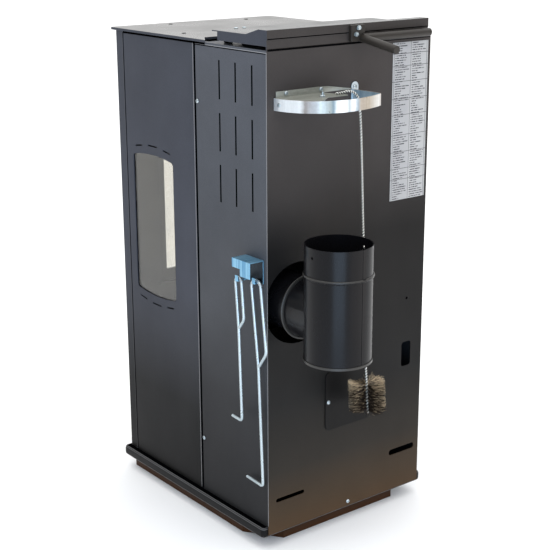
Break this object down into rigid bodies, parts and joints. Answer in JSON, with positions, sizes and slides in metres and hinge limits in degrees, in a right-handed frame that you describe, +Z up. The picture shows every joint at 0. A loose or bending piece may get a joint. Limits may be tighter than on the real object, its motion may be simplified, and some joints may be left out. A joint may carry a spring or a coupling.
{
  "type": "pellet and wood stove",
  "caption": "Free-standing pellet and wood stove with a gravity pellet hopper under a hinged lid, glazed side and front windows, a rear flue tee and hanging fire tools.",
  "frame": {"origin": "on the floor, at the middle of the base's cross tie", "axes": "+Z up; -Y towards the door; +X to the stove's right as seen from the door"},
  "size_m": [0.459, 0.7461, 1.031],
  "materials": {
    "enamel": "satin black enamel",
    "rear_enamel": "satin black enamel, warmer at the rear",
    "light_enamel": "glossy grey enamel on the top plate",
    "pipe_enamel": "semi-matt black enamel on steel pipe",
    "cast_iron": "matt black cast iron",
    "black_steel": "black stove paint on steel",
    "zinc": "zinc plated",
    "galvanised": "galvanised sheet",
    "brass": "brass-coloured wire bristles",
    "glass": "smoked heat-proof glass",
    "lining": "light fire-proof board",
    "rope": "woven glass-fibre rope",
    "paper": "blank silver-grey label"
  },
  "bodies": {
    "stove": {"base_tray": "enamel", "right_rear_panel": "enamel", "left_rear_panel": "enamel", "right_front_panel": "enamel", "left_front_panel": "enamel", "right_front_post": "enamel", "left_front_post": "enamel", "upper_front_panel": "enamel", "lower_front_panel": "enamel", "base_plinth": "rear_enamel", "rear_panel": "rear_enamel", "inspection_cover": "rear_enamel", "top_plate": "light_enamel", "flue_tee": "pipe_enamel", "flue_spigot": "pipe_enamel", "grate": "cast_iron", "burner_basket": "cast_iron", "firebox": "black_steel", "pellet_chute": "black_steel", "firebox_stand": "black_steel", "hopper": "black_steel", "hopper_frame": "black_steel", "smoke_duct": "black_steel", "right_side_screw_low": "zinc", "right_side_screw_high": "zinc", "left_side_screw_low": "zinc", "left_side_screw_high": "zinc", "door_pin": "zinc", "lid_hinge_rod": "zinc", "cover_screw_right": "zinc", "cover_screw_left": "zinc", "rear_bottom_screw": "zinc", "ring_tab_screw": "zinc", "ring_plate_screw_near": "zinc", "ring_plate_screw_far": "zinc", "ring_band": "galvanised", "ring_plate": "galvanised", "tool_bracket": "galvanised", "right_window_glass": "glass", "left_window_glass": "glass", "rear_lining": "lining", "baffle": "lining", "rating_label": "paper"},
    "lid": {"hopper_lid": "rear_enamel", "lid_seal": "rope", "lid_handle": "black_steel", "lid_handle_bolt_upper": "zinc", "lid_handle_bolt_lower": "zinc"},
    "door": {"door_frame": "cast_iron", "door_glass": "glass", "glass_retainer": "black_steel", "door_gasket": "rope"},
    "door_handle": {"door_handle": "black_steel"},
    "ash_drawer": {"ash_drawer": "black_steel"},
    "air_slider": {"air_slider": "black_steel"},
    "long_poker": {"long_poker": "zinc"},
    "short_poker": {"short_poker": "zinc"},
    "brush": {"brush_wire": "zinc", "brush_bristles": "brass"},
    "tee_cap": {"tee_cap": "pipe_enamel"}
  },
  "joints": [
    {"name": "lid_hinge", "type": "hinge", "parent": "stove", "child": "lid", "pos_m": [0, 0.1, 1.008], "axis": [1, 0, 0], "range_deg": [0, 75]},
    {"name": "door_swing", "type": "hinge", "parent": "stove", "child": "door", "pos_m": [0.1771, -0.248, 0.601], "axis": [0, 0, 1], "range_deg": [0, 110]},
    {"name": "door_handle_turn", "type": "hinge", "parent": "door", "child": "door_handle", "pos_m": [-0.16, -0.248, 0.61], "axis": [0, -1, 0], "range_deg": [0, 80]},
    {"name": "ash_drawer_slide", "type": "slide", "parent": "stove", "child": "ash_drawer", "axis": [0, -1, 0], "range_m": [0, 0.18]},
    {"name": "air_slider_slide", "type": "slide", "parent": "stove", "child": "air_slider", "axis": [1, 0, 0], "range_m": [-0.025, 0.025]},
    {"name": "long_poker_lift", "type": "slide", "parent": "stove", "child": "long_poker", "axis": [0, 0, 1], "range_m": [0, 0.025]},
    {"name": "short_poker_lift", "type": "slide", "parent": "stove", "child": "short_poker", "axis": [0, 0, 1], "range_m": [0, 0.025]},
    {"name": "brush_lift", "type": "slide", "parent": "stove", "child": "brush", "axis": [0, 0, 1], "range_m": [0, 0.045]},
    {"name": "tee_cap_slide", "type": "slide", "parent": "stove", "child": "tee_cap", "axis": [0, 0, -1], "range_m": [0, 0.06]}
  ]
}
